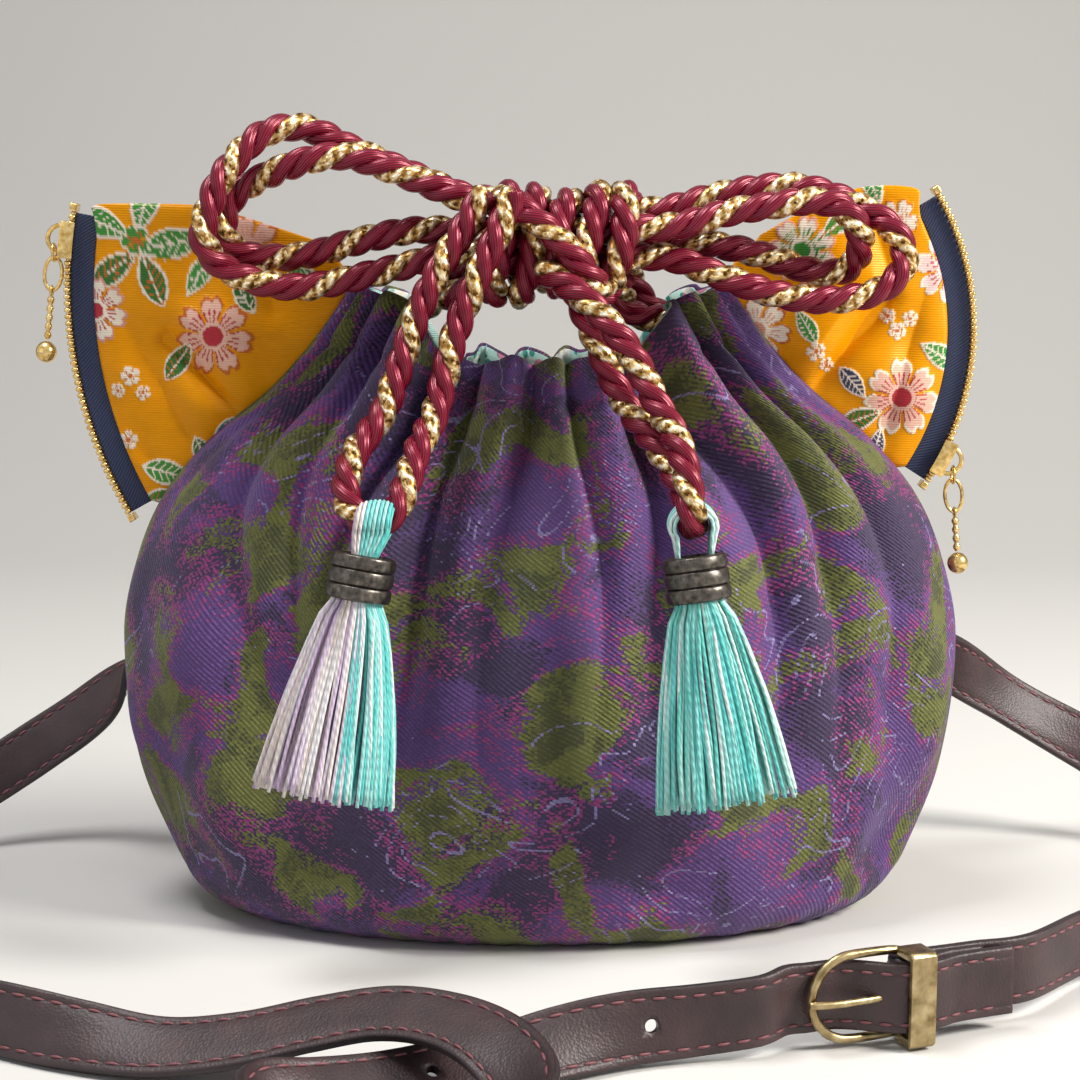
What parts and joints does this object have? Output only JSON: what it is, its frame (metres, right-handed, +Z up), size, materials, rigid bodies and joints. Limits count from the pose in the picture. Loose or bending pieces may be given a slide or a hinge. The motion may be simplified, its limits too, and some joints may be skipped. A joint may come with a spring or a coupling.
{
  "type": "drawstring shoulder bag",
  "caption": "Gathered cloth pouch with two zipped side pockets, a twisted cord bow with tassels and a leather shoulder strap with a buckle.",
  "frame": {"origin": "middle of the flat base's underside, on the surface that the bag stands on", "axes": "+Z up, -Y out of the front with the bow, +X to the viewer's right"},
  "size_m": [0.3627, 0.2399, 0.1975],
  "materials": {
    "jacquard": "woven purple and olive jacquard, matt with a slight sheen",
    "floral_cotton": "printed mint floral cotton",
    "brocade": "golden satin brocade with woven blossoms",
    "zip_tape": "navy woven tape",
    "gold_metal": "polished gold plate",
    "satin_cord": "burgundy satin strands twisted with a gold metallic strand",
    "tassel_thread": "soft glossy thread",
    "dark_pewter": "dark patinated ribbed metal",
    "leather": "dark brown oiled leather with stitched edges",
    "antique_brass": "antique brass, worn on its edges"
  },
  "bodies": {
    "bag": {"front_panel": "jacquard", "back_panel": "jacquard", "base_panel": "jacquard", "strap_tab_left": "jacquard", "strap_tab_right": "jacquard", "lining": "floral_cotton", "ear_pocket_left": "brocade", "ear_pocket_right": "brocade", "zip_tape_front_left": "zip_tape", "zip_tape_back_left": "zip_tape", "zip_teeth_front_left": "gold_metal", "zip_teeth_back_left": "gold_metal", "zip_stop_top_left": "gold_metal", "zip_stop_bottom_left": "gold_metal", "loop_left_outer": "satin_cord", "loop_left_inner": "satin_cord", "lead_left_front": "satin_cord", "lead_left_back": "satin_cord", "tail_left": "satin_cord", "tassel_left": "tassel_thread", "tassel_collar_left": "dark_pewter", "strap_rivet_left": "antique_brass", "zip_tape_front_right": "zip_tape", "zip_tape_back_right": "zip_tape", "zip_teeth_front_right": "gold_metal", "zip_teeth_back_right": "gold_metal", "zip_stop_top_right": "gold_metal", "zip_stop_bottom_right": "gold_metal", "loop_right_outer": "satin_cord", "loop_right_inner": "satin_cord", "lead_right_front": "satin_cord", "lead_right_back": "satin_cord", "tail_right": "satin_cord", "tassel_right": "tassel_thread", "tassel_collar_right": "dark_pewter", "strap_rivet_right": "antique_brass", "bow_knot": "satin_cord", "strap_long": "leather", "strap_short": "leather", "buckle_frame": "antique_brass", "buckle_keeper": "antique_brass"},
    "slider_left": {"zip_slider_left": "gold_metal", "zip_link_left": "gold_metal"},
    "pull_left": {"zip_ring_left": "gold_metal", "zip_chain_left": "gold_metal", "zip_ball_left": "gold_metal"},
    "slider_right": {"zip_slider_right": "gold_metal", "zip_link_right": "gold_metal"},
    "pull_right": {"zip_ring_right": "gold_metal", "zip_chain_right": "gold_metal", "zip_ball_right": "gold_metal"},
    "prong": {"buckle_prong": "antique_brass"},
    "ring_left": {"strap_ring_left": "antique_brass"},
    "ring_right": {"strap_ring_right": "antique_brass"}
  },
  "joints": [
    {"name": "zip_slider_left", "type": "hinge", "parent": "bag", "child": "slider_left", "pos_m": [-0.00632, 0, 0.15276], "axis": [0, 1, 0], "range_deg": [-26, 0]},
    {"name": "zip_pull_left", "type": "hinge", "parent": "slider_left", "child": "pull_left", "pos_m": [-0.12008, 0, 0.16177], "axis": [0, 1, 0], "range_deg": [0, 85]},
    {"name": "zip_slider_right", "type": "hinge", "parent": "bag", "child": "slider_right", "pos_m": [0.04068, 0, 0.14373], "axis": [0, 1, 0], "range_deg": [-53, 0]},
    {"name": "zip_pull_right", "type": "hinge", "parent": "slider_right", "child": "pull_right", "pos_m": [0.10358, 0, 0.10653], "axis": [0, 1, 0], "range_deg": [-85, 0]},
    {"name": "buckle_prong_turn", "type": "hinge", "parent": "bag", "child": "prong", "pos_m": [0.07687, -0.1011, 0.011], "axis": [0, 0, 1], "range_deg": [0, 6]},
    {"name": "strap_ring_left_swing", "type": "hinge", "parent": "bag", "child": "ring_left", "pos_m": [-0.07963, 0.03773, 0.09437], "axis": [0.6771, 0.5834, -0.4485], "range_deg": [-1.5, 1.5]},
    {"name": "strap_ring_right_swing", "type": "hinge", "parent": "bag", "child": "ring_right", "pos_m": [0.07998, 0.03771, 0.0944], "axis": [0.6603, -0.6156, 0.4302], "range_deg": [-1.5, 1.5]}
  ]
}
